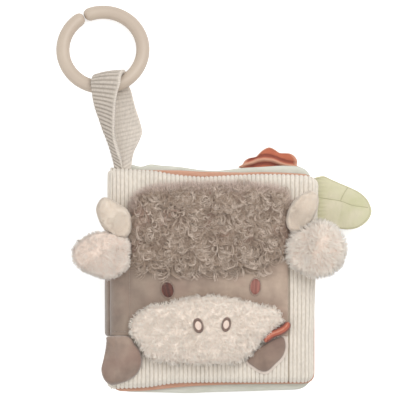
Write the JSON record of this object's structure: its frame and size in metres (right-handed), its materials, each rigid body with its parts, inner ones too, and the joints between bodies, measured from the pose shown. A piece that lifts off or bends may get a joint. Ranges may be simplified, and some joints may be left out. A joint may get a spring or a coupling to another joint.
{
  "type": "soft activity book",
  "caption": "Soft padded book with an animal's head on its front cover, cloth pages with tabs, and a split ring on a ribbed cloth strap.",
  "frame": {"origin": "on the back cover's flat underside, at the middle of the covers", "axes": "+X from the spine to the pages' free edges, +Y towards the ring, +Z out of the front cover"},
  "size_m": [0.2214, 0.2716, 0.0528],
  "materials": {
    "corduroy": "ribbed pile",
    "wadding": "loose fibre",
    "page_cotton": "matt",
    "taupe_velour": "short pile",
    "crinkle_film": "thin film",
    "coral_cotton": "matt",
    "curly_pile": "curly pile",
    "sherpa_fleece": "looped pile",
    "nostril_thread": "satin stitch",
    "eye_thread": "satin stitch",
    "horn_velour": "short pile",
    "ear_plush": "plush pile",
    "leaf_backing_cloth": "matt",
    "terracotta_cotton": "matt",
    "leaf_cotton": "matt",
    "strap_corduroy": "ribbed pile",
    "ring_plastic": "matt"
  },
  "bodies": {
    "back_cover": {"back_cover_corduroy": "corduroy", "back_cover_batting": "wadding", "back_cover_lining": "page_cotton"},
    "spine": {"spine_corduroy": "corduroy", "spine_velour": "taupe_velour", "spine_lining": "page_cotton"},
    "page_1": {"page_1_front": "page_cotton", "page_1_back": "page_cotton", "page_1_crinkle_film": "crinkle_film"},
    "page_2": {"page_2_front": "page_cotton", "page_2_back": "page_cotton", "page_2_crinkle_film": "crinkle_film"},
    "front_cover": {"front_cover_corduroy": "corduroy", "front_cover_batting": "wadding", "front_cover_lining": "coral_cotton", "face_panel": "taupe_velour", "forelock_pile": "curly_pile", "muzzle_sherpa": "sherpa_fleece", "muzzle_stuffing": "wadding", "nostril_left": "nostril_thread", "nostril_right": "nostril_thread", "eye_left": "eye_thread", "eye_right": "eye_thread"},
    "hoof": {"hoof_velour": "taupe_velour", "hoof_stuffing": "wadding"},
    "horn_left": {"horn_left": "horn_velour", "horn_left_stuffing": "wadding"},
    "horn_right": {"horn_right": "horn_velour", "horn_right_stuffing": "wadding"},
    "ear_left": {"ear_left": "ear_plush", "ear_left_stuffing": "wadding"},
    "ear_right": {"ear_right": "ear_plush", "ear_right_stuffing": "wadding"},
    "mouth_leaf": {"mouth_leaf_backing": "leaf_backing_cloth", "mouth_leaf_front": "taupe_velour"},
    "mouth_petal": {"mouth_petal": "terracotta_cotton"},
    "leaf": {"leaf_front": "leaf_cotton", "leaf_back": "leaf_cotton"},
    "flower": {"flower_front": "terracotta_cotton", "flower_back": "terracotta_cotton"},
    "strap": {"strap": "strap_corduroy"},
    "ring": {"ring": "ring_plastic"}
  },
  "joints": [
    {"name": "spine_fold", "type": "hinge", "parent": "back_cover", "child": "spine", "pos_m": [-0.0723, 0, 0.004], "axis": [0, -1, 0], "range_deg": [0, 90]},
    {"name": "front_cover_fold", "type": "hinge", "parent": "spine", "child": "front_cover", "pos_m": [-0.0718, 0, 0.025], "axis": [0, -1, 0], "range_deg": [0, 90]},
    {"name": "page_1_turn", "type": "hinge", "parent": "spine", "child": "page_1", "pos_m": [-0.069, 0, 0.0181], "axis": [0, -1, 0], "range_deg": [0, 45]},
    {"name": "page_2_turn", "type": "hinge", "parent": "spine", "child": "page_2", "pos_m": [-0.069, 0, 0.0118], "axis": [0, -1, 0], "range_deg": [-45, 0]},
    {"name": "strap_flop", "type": "hinge", "parent": "front_cover", "child": "strap", "pos_m": [-0.0637, 0.08025, 0.0232], "axis": [1, 0, 0], "range_deg": [-50, 90]},
    {"name": "ring_swing", "type": "hinge", "parent": "strap", "child": "ring", "pos_m": [-0.0749, 0.1345, 0.02278], "axis": [0.9962, 0.0825, -0.0281], "range_deg": [-50, 90]},
    {"name": "horn_left_flop", "type": "hinge", "parent": "front_cover", "child": "horn_left", "pos_m": [-0.06, 0.0385, 0.03657], "axis": [0.0698, 0.9976, 0], "range_deg": [-5, 25]},
    {"name": "horn_right_flop", "type": "hinge", "parent": "front_cover", "child": "horn_right", "pos_m": [0.054, 0.0405, 0.03696], "axis": [0.7193, -0.6947, 0], "range_deg": [-5, 25]},
    {"name": "ear_left_flop", "type": "hinge", "parent": "front_cover", "child": "ear_left", "pos_m": [-0.0606, 0.0172, 0.03677], "axis": [0, 1, 0], "range_deg": [-8, 35]},
    {"name": "ear_right_flop", "type": "hinge", "parent": "front_cover", "child": "ear_right", "pos_m": [0.0556, 0.02, 0.03568], "axis": [0, -1, 0], "range_deg": [-8, 35]},
    {"name": "hoof_lift", "type": "hinge", "parent": "front_cover", "child": "hoof", "pos_m": [-0.0644, -0.04095, 0.03324], "axis": [-1, 0, 0], "range_deg": [0, 45]},
    {"name": "mouth_leaf_lift", "type": "hinge", "parent": "front_cover", "child": "mouth_leaf", "pos_m": [0.0333, -0.05014, 0.03426], "axis": [-0.7388, -0.6739, 0], "range_deg": [0, 35]},
    {"name": "mouth_petal_lean", "type": "hinge", "parent": "front_cover", "child": "mouth_petal", "pos_m": [0.05236, -0.0341, 0.03451], "axis": [-0.7809, -0.6247, 0], "range_deg": [-20, 0]},
    {"name": "leaf_flop", "type": "hinge", "parent": "page_1", "child": "leaf", "pos_m": [0.0724, 0.0532, 0.0181], "axis": [0, -1, 0], "range_deg": [-30, 50]},
    {"name": "flower_flop", "type": "hinge", "parent": "page_2", "child": "flower", "pos_m": [0.0397, 0.0815, 0.0118], "axis": [1, 0, 0], "range_deg": [-30, 50]}
  ],
  "couplings": [
    {"joint": "page_1_turn", "follows": "front_cover_fold", "ratio": 0.5},
    {"joint": "page_2_turn", "follows": "spine_fold", "ratio": -0.5}
  ]
}
